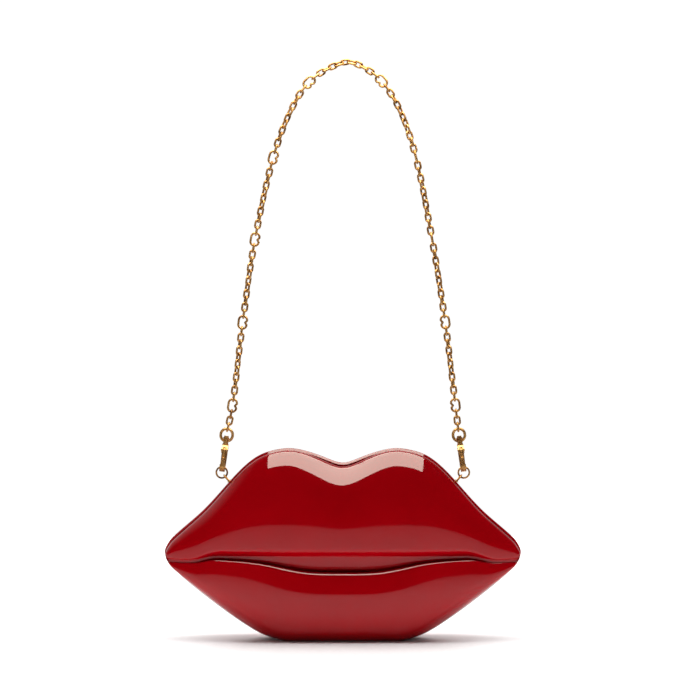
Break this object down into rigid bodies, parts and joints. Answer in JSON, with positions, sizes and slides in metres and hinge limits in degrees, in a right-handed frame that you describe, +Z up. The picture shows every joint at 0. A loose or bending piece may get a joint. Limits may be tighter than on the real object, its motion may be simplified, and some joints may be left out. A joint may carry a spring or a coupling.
{
  "type": "lips-shaped evening clutch",
  "caption": "Glossy red hard-shell evening clutch in the shape of closed lips, with a hinged case and an antique gilt chain strap on snap hooks.",
  "frame": {"origin": "bottom centre of the closed case with its strap up, on the surface that it stands on", "axes": "+X to the right seen from the front, +Y to the back, +Z up"},
  "size_m": [0.28, 0.0538, 0.4533],
  "materials": {
    "red_lacquered_resin": "gloss",
    "satin_lining": "satin",
    "gilt_brass_hinge": "satin",
    "antique_gilt_brass": "polished",
    "nickelled_steel": "satin"
  },
  "bodies": {
    "back_case": {"back_shell": "red_lacquered_resin", "back_lining": "satin_lining", "hinge_back_leaf": "gilt_brass_hinge", "hinge_pin": "nickelled_steel", "back_rivets": "gilt_brass_hinge", "magnet_back": "nickelled_steel", "magnet_holder_back": "satin_lining", "lug_left": "antique_gilt_brass", "lug_right": "antique_gilt_brass", "lug_nut_left": "nickelled_steel", "lug_nut_right": "nickelled_steel"},
    "front_case": {"front_shell": "red_lacquered_resin", "front_lining": "satin_lining", "hinge_front_leaf": "gilt_brass_hinge", "front_rivets": "gilt_brass_hinge", "magnet_front": "nickelled_steel", "magnet_holder_front": "satin_lining"},
    "strap": {"jump_ring_left": "antique_gilt_brass", "jump_ring_right": "antique_gilt_brass", "swivel_eye_left": "antique_gilt_brass", "swivel_eye_right": "antique_gilt_brass", "chain_run_01": "antique_gilt_brass", "chain_run_02": "antique_gilt_brass", "chain_run_03": "antique_gilt_brass", "chain_run_04": "antique_gilt_brass", "chain_run_05": "antique_gilt_brass", "chain_run_06": "antique_gilt_brass", "chain_run_07": "antique_gilt_brass", "chain_run_08": "antique_gilt_brass", "chain_run_09": "antique_gilt_brass", "chain_run_10": "antique_gilt_brass", "chain_run_11": "antique_gilt_brass", "notched_links": "antique_gilt_brass"},
    "snap_hook_left": {"hook_left": "antique_gilt_brass", "lever_pin_left": "antique_gilt_brass", "lever_spring_left": "nickelled_steel"},
    "snap_hook_right": {"hook_right": "antique_gilt_brass", "lever_pin_right": "antique_gilt_brass", "lever_spring_right": "nickelled_steel"},
    "gate_left": {"lever_left": "antique_gilt_brass"},
    "gate_right": {"lever_right": "antique_gilt_brass"}
  },
  "joints": [
    {"name": "case_opening", "type": "hinge", "parent": "back_case", "child": "front_case", "pos_m": [0, 0, 0.002], "axis": [1, 0, 0], "range_deg": [0, 50]},
    {"name": "strap_swing", "type": "hinge", "parent": "back_case", "child": "strap", "pos_m": [0, 0.004, 0.12647], "axis": [1, 0, 0], "range_deg": [-85, 85]},
    {"name": "swivel_left", "type": "hinge", "parent": "strap", "child": "snap_hook_left", "pos_m": [-0.0949, 0.004, 0.13039], "axis": [0.1305, 0, 0.9914], "range_deg": [-20, 20]},
    {"name": "swivel_right", "type": "hinge", "parent": "strap", "child": "snap_hook_right", "pos_m": [0.0949, 0.004, 0.13039], "axis": [-0.1305, 0, 0.9914], "range_deg": [-20, 20]},
    {"name": "gate_press_left", "type": "hinge", "parent": "snap_hook_left", "child": "gate_left", "pos_m": [-0.09262, 0.0007, 0.14764], "axis": [0.9914, 0, -0.1305], "range_deg": [0, 25], "stiffness_Nm_per_rad": 0.002},
    {"name": "gate_press_right", "type": "hinge", "parent": "snap_hook_right", "child": "gate_right", "pos_m": [0.09262, 0.0007, 0.14764], "axis": [0.9914, 0, 0.1305], "range_deg": [0, 25], "stiffness_Nm_per_rad": 0.002}
  ]
}
